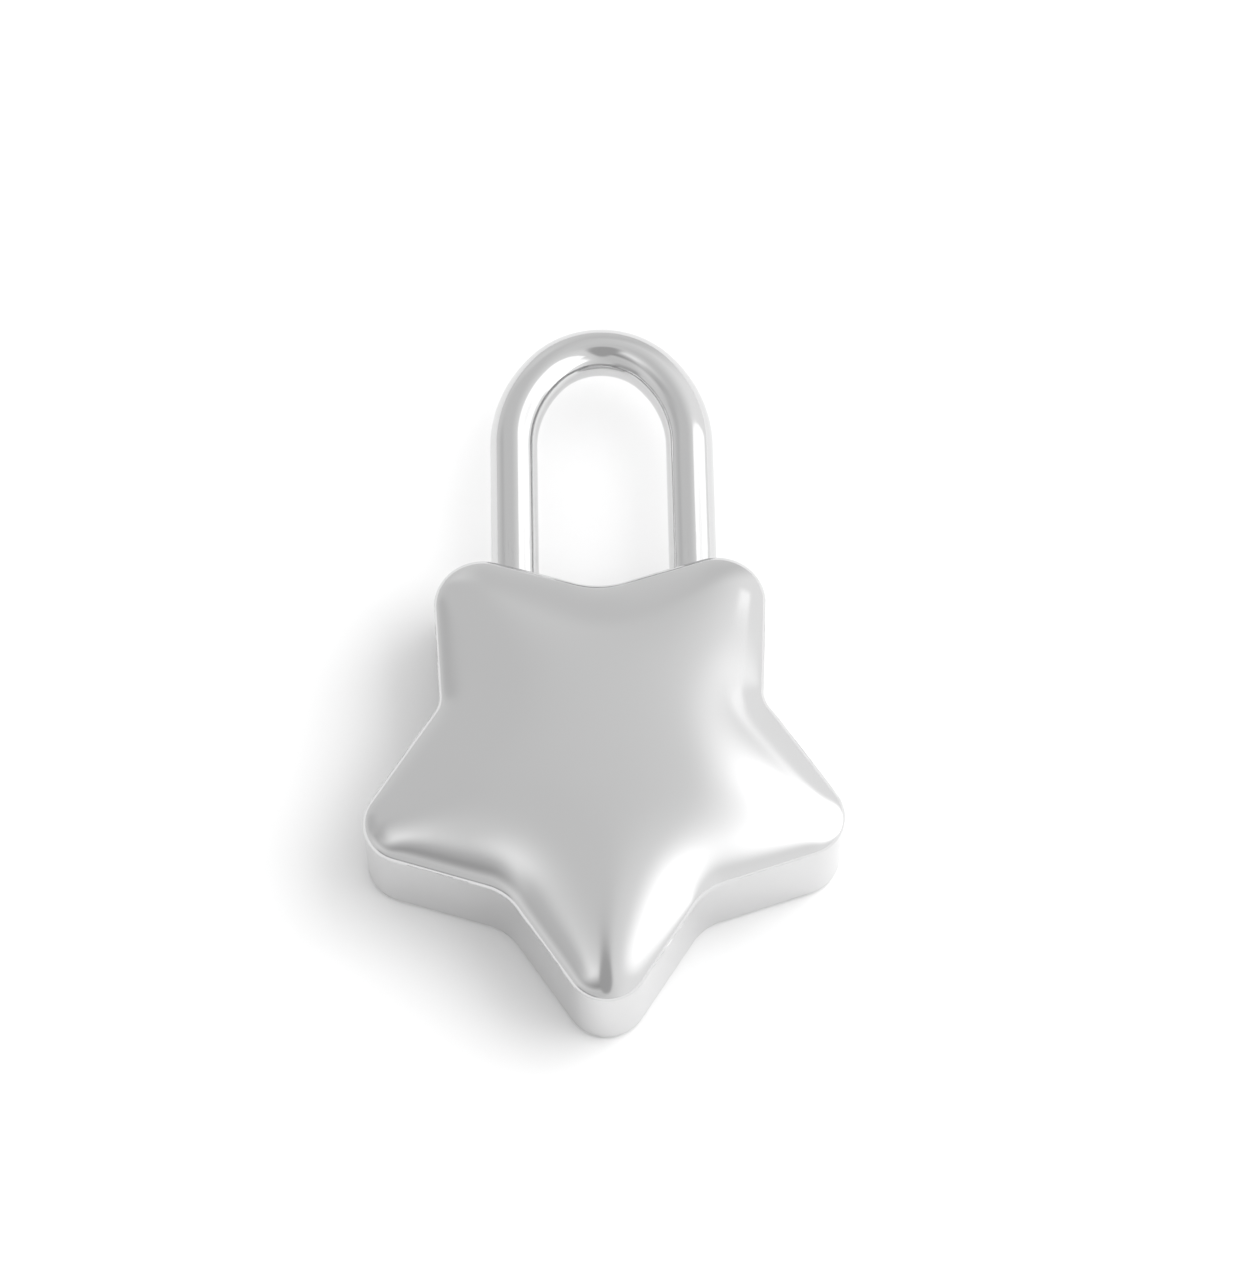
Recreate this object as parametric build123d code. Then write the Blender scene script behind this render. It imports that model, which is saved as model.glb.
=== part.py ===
from build123d import *
import math
import os

# Star padlock charm, in millimetres. It lies on its back: +X is to the right, +Y runs from the star's bottom
# point towards the shackle, and +Z comes out of the face. The origin is under the middle of the closed charm,
# at the height of its flat back.

# Star outline at the side wall: corner points before rounding, measured from the star's centre
top_notch_y = 6.60
shoulder_x = 6.30
shoulder_y = 8.45
side_notch_x = 5.98
side_notch_y = 2.05
arm_x = 9.70
arm_y = -3.45
lower_notch_x = 3.64
lower_notch_y = -5.37
bottom_point_y = -10.80

# Rounding of the outline's corners
shoulder_radius = 1.80
arm_radius = 1.55
bottom_radius = 1.55
top_notch_radius = 3.30
side_notch_radius = 1.10
lower_notch_radius = 2.05

# Side wall and puffed face
wall_height = 4.35
back_edge_radius = 0.30
rim_radius = 0.30
crown_growth = 15.0
crown_power = 14

# Shackle: a round wire with a long captive leg on the left and a short leg on the right
wire_diameter = 1.80
leg_spacing = 6.70
shackle_offset = 0.20
leg_height = 3.10
arch_start_y = 13.10
arch_rise = 4.00
arch_top_radius = 2.90
short_leg_depth = 2.50
short_leg_tip_radius = 0.25
lift = 3.20

# Fit of the legs in their bores
leg_clearance = 0.05
bore_end_gap = 0.40

# Keeper pin, which crosses the long leg's bore beside the leg's neck
pin_diameter = 0.80
pin_depth_in_bore = 2.60
pin_length = 4.60
pin_recess = 0.05
pin_clearance = 0.02
neck_diameter = 1.00
neck_clearance = 0.05
neck_end_gap = 0.10
foot_length = 1.00
foot_chamfer = 0.15

# Sections of the puffed face: slopes near the rim in degrees, then shares of the crown's width down to its flat
# middle
rim_slopes = (75.0, 60.0, 46.0, 35.0, 27.0)
crown_shares = (0.87, 0.72, 0.56, 0.38, 0.20)

# Fineness: points along each arc for the depth and along each piece of a section, steps of the profile's sum and
# steps of a search
arc_points = 12
section_points = 5
profile_steps = 200
search_steps = 20


def outline_corners():
    """Corners of the star clockwise from the top notch, as x, y and a rounding that is negative in a notch."""
    right = [
        (shoulder_x, shoulder_y, shoulder_radius),
        (side_notch_x, side_notch_y, -side_notch_radius),
        (arm_x, arm_y, arm_radius),
        (lower_notch_x, lower_notch_y, -lower_notch_radius),
    ]
    left = [(-x, y, rounding) for x, y, rounding in reversed(right)]
    return [(0.0, top_notch_y, -top_notch_radius), *right, (0.0, bottom_point_y, bottom_radius), *left]


def outline_pieces():
    """Outline at the side wall, as an arc over each corner and the straight edge from it to the next one."""
    corners = outline_corners()
    arcs = []
    for i, (x, y, rounding) in enumerate(corners):
        point = Vector(x, y, 0)
        back = (Vector(*corners[i - 1][:2], 0) - point).normalized()
        ahead = (Vector(*corners[(i + 1) % len(corners)][:2], 0) - point).normalized()
        half_turn = math.radians(180.0 - back.get_angle(ahead)) / 2
        reach = abs(rounding) * math.tan(half_turn)
        middle = (back + ahead).normalized() * (abs(rounding) / math.cos(half_turn) - abs(rounding))
        arcs.append(ThreePointArc(point + back * reach, point + middle, point + ahead * reach))
    pieces = []
    for i, arc in enumerate(arcs):
        pieces += [arc, Line(arc @ 1, arcs[(i + 1) % len(arcs)] @ 0)]
    return pieces


def puff_depth(x, y, loop):
    """Depth of a point inside the outline, which changes smoothly everywhere.

    Each piece of the outline counts by its length over the cube of its distance, and the depth is one over the
    square root of half the sum. Beside a long straight edge that is the plain distance from it.
    """
    total = 0.0
    for (x1, y1), (x2, y2) in zip(loop, loop[1:] + loop[:1]):
        ax, ay, bx, by = x1 - x, y1 - y, x2 - x, y2 - y
        a, b = math.hypot(ax, ay), math.hypot(bx, by)
        total += math.hypot(bx - ax, by - ay) * (a + b) / (a * b * (a * b + ax * bx + ay * by))
    return 1.0 / math.sqrt(total / 2.0)


def puff_profile(slope):
    """Depth and rise where the face has a slope, which is 90 degrees at the rim.

    Both are summed over small turns. The radius of curvature is the rim radius, plus the crown growth times a high
    power of the slope's cosine, so the rim is tight and the crown is nearly level.
    """
    depth = rise = 0.0
    turn = math.radians(90.0 - slope) / profile_steps
    for i in range(profile_steps):
        angle = math.pi / 2 - (i + 0.5) * turn
        arc = (rim_radius + crown_growth * math.cos(angle) ** crown_power) * turn
        depth += arc * math.cos(angle)
        rise += arc * math.sin(angle)
    return depth, rise


def search(low, high, is_low):
    """Value between two limits at which a test turns from true to false."""
    for _ in range(search_steps):
        middle = (low + high) / 2
        low, high = (middle, high) if is_low(middle) else (low, middle)
    return (low + high) / 2


def level_point(start, depth, loop):
    """Point at a depth, on the way from a point of the outline to the star's centre."""
    share = search(0.0, 1.0, lambda s: puff_depth(start.X * (1 - s), start.Y * (1 - s), loop) < depth)
    return Vector(start.X * (1 - share), start.Y * (1 - share), 0)


def level_section(starts, depth, loop):
    """Face bounded by the curve of equal depth, as one spline for each piece of the outline."""
    points = [level_point(start, depth, loop) for start in starts]
    count = len(points)
    step = section_points - 1
    shares = [i / step for i in range(section_points)]
    edges = []
    for first in range(0, count, step):
        row = [points[(first + i) % count] for i in range(section_points)]
        leave = points[(first + 1) % count] - points[first - 1]
        meet = points[(first + step + 1) % count] - points[(first + step - 1) % count]
        edges.append(Edge.make_spline(row, tangents=(leave, meet), parameters=shares))
    return make_face(Wire(edges))


def section_slopes(deepest):
    """Slope at each section of the face, from beside the rim to the flat middle."""
    rim_depth = puff_profile(rim_slopes[-1])[0]
    crown = [deepest - (deepest - rim_depth) * share**2 for share in crown_shares]
    return [*rim_slopes, *(search(0.0, 90.0, lambda slope: puff_profile(slope)[0] > depth) for depth in crown)]


def make_puffed_face(pieces):
    """Face lofted on top of the side wall, through sections of equal depth that rise towards the middle."""
    arcs = pieces[::2]
    loop = [arc @ (i / arc_points) for arc in arcs for i in range(arc_points + 1)]
    loop = [(point.X, point.Y) for point in loop]
    starts = [piece @ (i / (section_points - 1)) for piece in pieces for i in range(section_points - 1)]
    sections = [Pos(0, 0, wall_height) * make_face(Wire(pieces))]
    for slope in section_slopes(puff_depth(0.0, 0.0, loop)):
        depth, rise = puff_profile(slope)
        sections.append(Pos(0, 0, wall_height + rise) * level_section(starts, depth, loop))
    return loft(sections)


def make_star_solid():
    """Side wall with a small edge round its flat back, and the puffed face on top of it."""
    pieces = outline_pieces()
    wall = extrude(make_face(Wire(pieces)), wall_height)
    wall = fillet(wall.edges().group_by(Axis.Z)[0], back_edge_radius)
    return wall + make_puffed_face(pieces)


def leg_mouth_y(x):
    """Height of the star's top edge at a leg, between the top notch and the shoulder."""
    return top_notch_y + (shoulder_y - top_notch_y) * abs(x) / shoulder_x


# Places worked out from the sizes above, measured from the star's centre
wire_radius = wire_diameter / 2
bore_radius = wire_radius + leg_clearance
pin_radius = pin_diameter / 2
neck_radius = neck_diameter / 2
long_leg_x = shackle_offset - leg_spacing / 2
short_leg_x = shackle_offset + leg_spacing / 2
pin_y = leg_mouth_y(long_leg_x) - pin_depth_in_bore
pin_x = long_leg_x - neck_radius - neck_clearance - pin_radius
neck_top_y = pin_y + pin_radius + neck_end_gap
neck_foot_y = pin_y - pin_radius - lift - neck_end_gap
long_leg_end_y = neck_foot_y - foot_length
short_leg_end_y = leg_mouth_y(short_leg_x) - short_leg_depth


def cylinder_along_y(radius, x, low_y, high_y):
    """Round rod or bore at the legs' height."""
    plane = Plane(origin=(x, low_y, leg_height), x_dir=(1, 0, 0), z_dir=(0, 1, 0))
    return extrude(plane * Circle(radius), high_y - low_y)


def cylinder_along_z(radius, x, y, low_z, high_z):
    """Round pin or hole that stands upright."""
    return extrude(Pos(x, y, low_z) * Circle(radius), high_z - low_z)


def make_star_body():
    """The cast star with a deep bore for the long leg, a shallow one for the short leg and the pin's hole."""
    body = make_star_solid()
    mouth = shoulder_y + wire_diameter
    body -= cylinder_along_y(bore_radius, long_leg_x, long_leg_end_y - bore_end_gap, mouth)
    body -= cylinder_along_y(bore_radius, short_leg_x, short_leg_end_y - bore_end_gap, mouth)
    pin_hole = pin_radius + pin_clearance
    return body - cylinder_along_z(pin_hole, pin_x, pin_y, -pin_recess, pin_recess + pin_length + pin_clearance)


def arch_path():
    """Arch of three tangent arcs: two flatter side arcs and a rounder one over the top."""
    half = leg_spacing / 2
    top_drop = arch_rise - arch_top_radius
    side_radius = (half**2 + top_drop**2 - arch_top_radius**2) / (2 * (half - arch_top_radius))
    join = math.atan2(top_drop, side_radius - half)
    left_start = Vector(long_leg_x, arch_start_y, leg_height)
    right_end = Vector(short_leg_x, arch_start_y, leg_height)

    def on_side(angle, sign):
        """Point on a side arc, at an angle above its centre."""
        x = shackle_offset + sign * (side_radius * math.cos(angle) - (side_radius - half))
        return Vector(x, arch_start_y + side_radius * math.sin(angle), leg_height)

    top = Vector(shackle_offset, arch_start_y + arch_rise, leg_height)
    return [
        ThreePointArc(left_start, on_side(join / 2, -1), on_side(join, -1)),
        ThreePointArc(on_side(join, -1), top, on_side(join, 1)),
        ThreePointArc(on_side(join, 1), on_side(join / 2, 1), right_end),
    ]


def make_shackle():
    """Wire bent over the arch, with a neck and a foot on the long leg and a rounded tip on the short one."""
    arch = arch_path()
    long_leg = Line((long_leg_x, long_leg_end_y, leg_height), arch[0] @ 0)
    short_leg = Line(arch[-1] @ 1, (short_leg_x, short_leg_end_y, leg_height))
    path = Wire([long_leg, *arch, short_leg])
    start = Plane(origin=path @ 0, z_dir=path % 0)
    wire = sweep(start * Circle(wire_radius), path=path)
    ends = wire.edges().filter_by(GeomType.CIRCLE).sort_by(Axis.Y)
    long_end = ends.filter_by(lambda edge: edge.center().X < shackle_offset)[0]
    wire = chamfer(long_end, foot_chamfer)
    ends = wire.edges().filter_by(GeomType.CIRCLE).sort_by(Axis.Y)
    short_end = ends.filter_by(lambda edge: edge.center().X > shackle_offset)[0]
    wire = fillet(short_end, short_leg_tip_radius)
    sleeve = cylinder_along_y(bore_radius, long_leg_x, neck_foot_y, neck_top_y)
    sleeve -= cylinder_along_y(neck_radius, long_leg_x, neck_foot_y, neck_top_y)
    return wire - sleeve


def make_keeper_pin():
    """Plain round pin, driven in from the back and sunk a little below it."""
    return cylinder_along_z(pin_radius, pin_x, pin_y, pin_recess, pin_recess + pin_length)


pieces = {
    "star_body": make_star_body(),
    "shackle": make_shackle(),
    "keeper_pin": make_keeper_pin(),
}

# The origin goes under the middle of the closed charm
whole = Compound(children=[Solid(piece.solid().wrapped) for piece in pieces.values()])
box = whole.bounding_box()
to_origin = Pos(-(box.min.X + box.max.X) / 2, -(box.min.Y + box.max.Y) / 2, 0)

os.makedirs("parts", exist_ok=True)
for name, piece in pieces.items():
    placed = to_origin * piece
    export_step(placed, f"parts/{name}.step")
    size = placed.bounding_box().size
    print(f"{name}: {placed.volume:.2f} mm3, {size.X:.2f} x {size.Y:.2f} x {size.Z:.2f} mm, valid {placed.is_valid}")
print(f"star centre at y = {to_origin.position.Y:.3f}, whole {box.size.X:.2f} x {box.size.Y:.2f} x {box.size.Z:.2f} mm")
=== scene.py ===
"""Looks of the star padlock charm: its polished meshes, its finishes and the studio it lies in.

Sizes are in millimetres in the classes, as a maker would give them, and become metres when a mesh is
written. The charm lies on its back: +X is to the right, +Y runs from the star's bottom point towards the
shackle, and +Z comes out of the face.
"""

from __future__ import annotations

import logging
import math
from dataclasses import dataclass, field
from enum import Enum
from typing import Iterable, Mapping, Sequence

import bpy
import numpy as np
from mathutils import Matrix, Vector

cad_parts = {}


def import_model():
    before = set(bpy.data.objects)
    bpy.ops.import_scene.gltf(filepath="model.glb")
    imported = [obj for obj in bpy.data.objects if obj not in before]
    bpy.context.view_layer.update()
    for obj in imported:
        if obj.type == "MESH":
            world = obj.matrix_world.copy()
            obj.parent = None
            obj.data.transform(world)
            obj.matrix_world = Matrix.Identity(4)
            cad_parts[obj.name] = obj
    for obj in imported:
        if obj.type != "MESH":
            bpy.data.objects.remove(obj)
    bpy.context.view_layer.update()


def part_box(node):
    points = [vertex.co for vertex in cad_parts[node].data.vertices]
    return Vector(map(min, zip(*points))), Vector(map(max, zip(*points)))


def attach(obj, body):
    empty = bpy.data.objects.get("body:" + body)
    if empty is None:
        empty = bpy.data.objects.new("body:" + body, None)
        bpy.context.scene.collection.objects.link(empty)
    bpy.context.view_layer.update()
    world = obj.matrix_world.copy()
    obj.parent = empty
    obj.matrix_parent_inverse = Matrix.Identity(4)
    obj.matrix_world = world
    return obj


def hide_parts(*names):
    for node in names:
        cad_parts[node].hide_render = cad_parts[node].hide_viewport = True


LOG = logging.getLogger("star_padlock_charm")
MM = 0.001
PICTURE_WIDTH = 1256
PICTURE_HEIGHT = 1282
SHARP_EDGE = math.radians(35.0)

Pair = tuple[float, float]
Triple = tuple[float, float, float]
Faces = list[tuple[int, ...]]


class Body(Enum):
    """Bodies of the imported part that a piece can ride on."""

    CASE = "case"
    SHACKLE = "shackle"


class Slot(Enum):
    """Material slots of the record."""

    STAR = "star_metal"
    SHACKLE = "shackle_metal"
    PIN = "pin_metal"


# Shader maths


class Term:
    """A number in a node tree. Sums written with it become Math nodes."""

    def __init__(self, graph: Graph, socket: bpy.types.NodeSocket) -> None:
        """Keeps the socket that gives the number.

        Args:
            graph: The node tree's helper.
            socket: Output socket that gives the number.
        """
        self.graph = graph
        self.socket = socket

    def math(self, operation: str, *values: Term | float) -> Term:
        """Adds a Math node.

        Args:
            operation: The Math node's operation.
            values: The node's inputs in order, as terms or plain numbers.

        Returns:
            The node's result.
        """
        node = self.graph.node("ShaderNodeMath", {"operation": operation}, dict(enumerate(values)))
        return Term(self.graph, node.outputs[0])

    def __add__(self, other: Term | float) -> Term:
        """Sum."""
        return self.math("ADD", self, other)

    def __radd__(self, other: float) -> Term:
        """Sum with the plain number first."""
        return self.math("ADD", other, self)

    def __sub__(self, other: Term | float) -> Term:
        """Difference."""
        return self.math("SUBTRACT", self, other)

    def __rsub__(self, other: float) -> Term:
        """Difference with the plain number first."""
        return self.math("SUBTRACT", other, self)

    def __mul__(self, other: Term | float) -> Term:
        """Product."""
        return self.math("MULTIPLY", self, other)

    def __rmul__(self, other: float) -> Term:
        """Product with the plain number first."""
        return self.math("MULTIPLY", other, self)

    def __truediv__(self, other: Term | float) -> Term:
        """Quotient."""
        return self.math("DIVIDE", self, other)

    def __rtruediv__(self, other: float) -> Term:
        """Quotient with the plain number first."""
        return self.math("DIVIDE", other, self)

    def step(self, low: float, high: float) -> Term:
        """Smooth step.

        Args:
            low: Where the result is 0.
            high: Where the result is 1. It may be below low, for a falling step.

        Returns:
            0 to 1, with level ends.
        """
        settings = {"interpolation_type": "SMOOTHSTEP"}
        lower, upper = min(low, high), max(low, high)
        ends = (0.0, 1.0) if high > low else (1.0, 0.0)
        inputs = {"Value": self, "From Min": lower, "From Max": upper, "To Min": ends[0], "To Max": ends[1]}
        return Term(self.graph, self.graph.node("ShaderNodeMapRange", settings, inputs).outputs["Result"])

    def most(self, other: Term | float) -> Term:
        """The larger of this number and the other."""
        return self.math("MAXIMUM", self, other)

    def length_with(self, other: Term) -> Term:
        """Length of the flat vector with this number and the other as its parts."""
        return self.math("SQRT", self * self + other * other)

    def wave(self) -> Term:
        """Sine of this number, lifted to run from 0 to 1."""
        return self.math("SINE", self) * 0.5 + 0.5

    def toward(self, target: Term | float, share: Term) -> Term:
        """This number moved a share of the way to the target."""
        return self + (target - self) * share


class Graph:
    """A node tree with one method that adds any node."""

    def __init__(self, tree: bpy.types.NodeTree) -> None:
        """Empties the tree.

        Args:
            tree: Node tree of a material or of the world.
        """
        self.tree = tree
        tree.nodes.clear()

    def node(
        self,
        kind: str,
        settings: Mapping[str, object] | None = None,
        inputs: Mapping[str | int, object] | None = None,
    ) -> bpy.types.Node:
        """Adds a node.

        Args:
            kind: The node's type name.
            settings: Properties of the node.
            inputs: Values or links of its sockets by name or number.

        Returns:
            The new node.
        """
        made = self.tree.nodes.new(kind)
        for name, value in (settings or {}).items():
            setattr(made, name, value)
        for name, value in (inputs or {}).items():
            if isinstance(value, Term):
                self.tree.links.new(value.socket, made.inputs[name])
            elif isinstance(value, bpy.types.NodeSocket):
                self.tree.links.new(value, made.inputs[name])
            else:
                made.inputs[name].default_value = value
        return made

    def place(self) -> bpy.types.NodeSocket:
        """Object coordinates, in metres."""
        return self.node("ShaderNodeTexCoord").outputs["Object"]

    def parts(self, source: bpy.types.NodeSocket) -> tuple[Term, Term, Term]:
        """The x, y and z of a vector, as terms."""
        split = self.node("ShaderNodeSeparateXYZ", {}, {"Vector": source})
        return Term(self, split.outputs[0]), Term(self, split.outputs[1]), Term(self, split.outputs[2])

    def attribute(self, name: str) -> Term:
        """Number kept on the mesh under a name."""
        return Term(self, self.node("ShaderNodeAttribute", {"attribute_name": name}).outputs["Fac"])

    def stretched(self, scale: Sequence[float], source: bpy.types.NodeSocket) -> bpy.types.NodeSocket:
        """Coordinates scaled along each axis.

        Args:
            scale: Factor along each axis.
            source: Coordinates to scale.

        Returns:
            The scaled coordinates.
        """
        settings = {"operation": "MULTIPLY"}
        return self.node("ShaderNodeVectorMath", settings, {0: source, 1: tuple(scale)}).outputs["Vector"]

    def noise(
        self,
        source: bpy.types.NodeSocket,
        *,
        scale: float = 1.0,
        detail: float,
        roughness: float = 0.5,
    ) -> Term:
        """Smooth noise from 0 to 1.

        Args:
            source: Coordinates.
            scale: Waves per unit of the coordinates.
            detail: Number of finer layers.
            roughness: Strength of the finer layers.

        Returns:
            The noise as a term.
        """
        inputs = {"Vector": source, "Scale": scale, "Detail": detail, "Roughness": roughness}
        return Term(self, self.node("ShaderNodeTexNoise", {}, inputs).outputs["Fac"])

    def blend(self, share: Term, first: Sequence[float], second: Sequence[float]) -> bpy.types.NodeSocket:
        """Mix of two colours.

        Args:
            share: Share of the second colour.
            first: First colour.
            second: Second colour.

        Returns:
            The mixed colour's socket.
        """
        settings = {"data_type": "RGBA", "clamp_factor": True}
        mixed = self.node("ShaderNodeMix", settings, {0: share, 6: (*first, 1.0), 7: (*second, 1.0)})
        return mixed.outputs[2]

    def relief(self, height: Term, depth: float) -> bpy.types.NodeSocket:
        """Bump from a height.

        Args:
            height: Height from 0 to 1.
            depth: What a height of 1 is, in metres.

        Returns:
            The bent normal's socket.
        """
        inputs = {"Height": height, "Distance": depth, "Strength": 1.0}
        return self.node("ShaderNodeBump", {}, inputs).outputs["Normal"]

    def surface(self, **inputs: object) -> None:
        """Ends the tree with a Principled shader.

        Args:
            inputs: Its inputs by name, with underscores for spaces.
        """
        named = {name.replace("_", " "): value for name, value in inputs.items()}
        shader = self.node("ShaderNodeBsdfPrincipled", {}, named)
        self.node("ShaderNodeOutputMaterial", {}, {"Surface": shader.outputs[0]})


def fresh_material(name: str) -> tuple[bpy.types.Material, Graph]:
    """New material whose node tree is empty.

    Args:
        name: The material's name.

    Returns:
        The material and the helper of its tree.
    """
    made = bpy.data.materials.new(name)
    made.use_nodes = True
    return made, Graph(made.node_tree)


def shade(colour: Triple, share: float) -> Triple:
    """Colour with each part multiplied by the share."""
    return colour[0] * share, colour[1] * share, colour[2] * share


# Finishes. Waves are per metre, or per unit of the UV map along the wire, and relief depths are in metres.


@dataclass(frozen=True)
class PolishedCase:
    """Mirror-polished cast metal with a soft buffing haze."""

    colour: Triple = (0.66, 0.66, 0.662)
    # Darker colour of the painted shade at the leg mouths and along the foot of the wall.
    painted_shade_colour: Triple = (0.56, 0.56, 0.563)
    roughness: float = 0.14
    haze: float = 0.05
    line_haze: float = 0.03
    hollow_haze: float = 0.10
    edge_gloss: float = 0.03
    # Share of the painted shade where its mask is full.
    painted_shade_share: float = 0.6
    cloud_stain: float = 0.3
    fine_share: float = 0.4
    cloud_waves: float = 260.0
    line_waves: Triple = (5200.0, 320.0, 900.0)
    cross_waves: Triple = (900.0, 9000.0, 2500.0)
    hairline_depth: float = 0.0000006

    def material(self) -> bpy.types.Material:
        """Metal with cloudy haze, faint buffing hairlines, and some dullness and painted shade at the leg
        mouths and along the back.

        Returns:
            The material.
        """
        made, graph = fresh_material("polished_case")
        place = graph.place()
        cloud = graph.noise(place, scale=self.cloud_waves, detail=3.0)
        lines = graph.noise(graph.stretched(self.line_waves, place), detail=3.0, roughness=0.6)
        fine = graph.noise(graph.stretched(self.cross_waves, place), detail=2.0, roughness=0.6)
        dull_and_shaded = graph.attribute("dull_and_shaded")
        edge = graph.attribute("edge")
        rough = self.roughness + (cloud - 0.5) * self.haze + (lines - 0.5) * self.line_haze
        rough = rough + dull_and_shaded * self.hollow_haze - edge * self.edge_gloss
        # Painted shade at the leg mouths and the foot of the wall, plus random cloudy tone.
        darkening = dull_and_shaded * self.painted_shade_share + (cloud - 0.5) * self.cloud_stain
        colour = graph.blend(darkening, self.colour, self.painted_shade_colour)
        height = lines * (1.0 - self.fine_share) + fine * self.fine_share
        hairlines = graph.relief(height, self.hairline_depth)
        graph.surface(Base_Color=colour, Metallic=1.0, Roughness=rough, Normal=hairlines)
        return made


@dataclass(frozen=True)
class BoredHole:
    """Drilled metal, dull and ringed by the drill."""

    colour: Triple = (0.50, 0.50, 0.51)
    metallic: float = 0.45
    grime_share: float = 0.55
    grime_waves: float = 900.0
    roughness: float = 0.42
    ring_haze: float = 0.2
    ring_waves: Triple = (200.0, 14000.0, 200.0)
    ring_depth: float = 0.000004

    def material(self) -> bpy.types.Material:
        """Dull metal with fine rings round the bore.

        Returns:
            The material.
        """
        made, graph = fresh_material("bored_hole")
        place = graph.place()
        rings = graph.noise(graph.stretched(self.ring_waves, place), detail=2.0)
        grime = graph.noise(place, scale=self.grime_waves, detail=3.0)
        colour = graph.blend(grime, self.colour, shade(self.colour, self.grime_share))
        rough = self.roughness + (rings - 0.5) * self.ring_haze
        relief = graph.relief(rings, self.ring_depth)
        graph.surface(Base_Color=colour, Metallic=self.metallic, Roughness=rough, Normal=relief)
        return made


@dataclass(frozen=True)
class PolishedWire:
    """Drawn and polished wire, a little clearer than the case, with faint rubbing where it slides."""

    colour: Triple = (0.66, 0.66, 0.662)
    worn_share: float = 0.86
    roughness: float = 0.09
    haze: float = 0.05
    line_haze: float = 0.03
    rub_haze: float = 0.14
    rub_stain: float = 0.5
    cloud_stain: float = 0.2
    rub_lift: float = 0.8
    cloud_waves: float = 420.0
    line_waves: Triple = (60.0, 0.35, 1.0)
    scuff_waves: Triple = (40.0, 1.2, 1.0)
    scuff_span: Pair = (0.50, 0.72)
    line_depth: float = 0.0000005

    def material(self) -> bpy.types.Material:
        """Clear metal with drawing lines along the wire and short rubbing marks on the legs.

        Returns:
            The material.
        """
        made, graph = fresh_material("polished_wire")
        along = graph.node("ShaderNodeUVMap", {"uv_map": "along_wire"}).outputs[0]
        draws = graph.noise(graph.stretched(self.line_waves, along), detail=2.0, roughness=0.6)
        cloud = graph.noise(graph.place(), scale=self.cloud_waves, detail=3.0)
        scuff = graph.noise(graph.stretched(self.scuff_waves, along), detail=3.0, roughness=0.7)
        rubbed = graph.attribute("rub") * scuff.step(*self.scuff_span)
        rough = self.roughness + (cloud - 0.5) * self.haze + (draws - 0.5) * self.line_haze
        rough = rough + rubbed * self.rub_haze
        darkening = rubbed * self.rub_stain + (cloud - 0.5) * self.cloud_stain
        worn = graph.blend(darkening, self.colour, shade(self.colour, self.worn_share))
        lines = graph.relief(draws + rubbed * self.rub_lift, self.line_depth)
        graph.surface(Base_Color=worn, Metallic=1.0, Roughness=rough, Normal=lines)
        return made


@dataclass(frozen=True)
class GroundPin:
    """Plain ground steel pin with turned rings on its end."""

    colour: Triple = (0.70, 0.70, 0.71)
    grime_share: float = 0.7
    grime_waves: float = 1500.0
    roughness: float = 0.30
    ring_haze: float = 0.08
    ring_turn: float = 60000.0
    ring_depth: float = 0.000002

    def material(self, centre: Sequence[float]) -> bpy.types.Material:
        """Satin metal with rings about the pin's middle.

        Args:
            centre: Middle of the pin in metres.

        Returns:
            The material.
        """
        made, graph = fresh_material("ground_pin")
        place = graph.place()
        centred = graph.node("ShaderNodeMapping", {}, {"Vector": place, "Location": [-c for c in centre]})
        x, y, _ = graph.parts(centred.outputs[0])
        rings = (x.length_with(y) * self.ring_turn).wave()
        grime = graph.noise(place, scale=self.grime_waves, detail=2.0)
        colour = graph.blend(grime, self.colour, shade(self.colour, self.grime_share))
        rough = self.roughness + rings * self.ring_haze
        relief = graph.relief(rings, self.ring_depth)
        graph.surface(Base_Color=colour, Metallic=1.0, Roughness=rough, Normal=relief)
        return made


@dataclass(frozen=True)
class PaleTable:
    """Matt white table."""

    colour: Triple = (0.88, 0.88, 0.88)
    cloud_share: float = 0.98
    cloud_waves: float = 60.0
    roughness: float = 0.9

    def material(self) -> bpy.types.Material:
        """Matt white with a trace of unevenness.

        Returns:
            The material.
        """
        made, graph = fresh_material("pale_table")
        cloud = graph.noise(graph.place(), scale=self.cloud_waves, detail=3.0)
        colour = graph.blend(cloud, self.colour, shade(self.colour, self.cloud_share))
        graph.surface(Base_Color=colour, Roughness=self.roughness)
        return made


# Meshes


def closed_tube(rings: np.ndarray, start: np.ndarray, end: np.ndarray) -> tuple[np.ndarray, Faces]:
    """Skin over closed rings, with a point at each end.

    Ring i and column j make vertex i * columns + j. Each cell joins two neighbours on a ring with the
    same two on the next ring, and the column after the last is the first. The two end points close the
    first and last ring with triangles.

    Args:
        rings: Points of the rings, shaped rings by columns by 3.
        start: Point inside the first ring.
        end: Point inside the last ring.

    Returns:
        The vertices and the faces.
    """
    count, columns = rings.shape[:2]
    vertices = np.concatenate([rings.reshape(-1, 3), start[None], end[None]])
    row = np.arange(count - 1)[:, None] * columns
    column = np.arange(columns)[None, :]
    following = (column + 1) % columns
    cells = np.stack([row + column, row + following, row + columns + following, row + columns + column], -1)
    around = np.arange(columns)
    beside = (around + 1) % columns
    first = np.stack([np.full(columns, count * columns), beside, around], -1)
    top = (count - 1) * columns
    last = np.stack([np.full(columns, count * columns + 1), top + around, top + beside], -1)
    return vertices, [tuple(face) for part in (cells.reshape(-1, 4), first, last) for face in part.tolist()]


def make_piece(name: str, vertices: np.ndarray, faces: Iterable[Sequence[int]]) -> bpy.types.Object:
    """Mesh object from points in millimetres.

    Args:
        name: The object's name.
        vertices: Points in millimetres.
        faces: Corner numbers of each face.

    Returns:
        The object, linked to the scene.
    """
    mesh = bpy.data.meshes.new(name)
    mesh.from_pydata((vertices * MM).tolist(), [], list(faces))
    mesh.validate()
    mesh.shade_smooth()
    piece = bpy.data.objects.new(name, mesh)
    bpy.context.scene.collection.objects.link(piece)
    return piece


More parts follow.
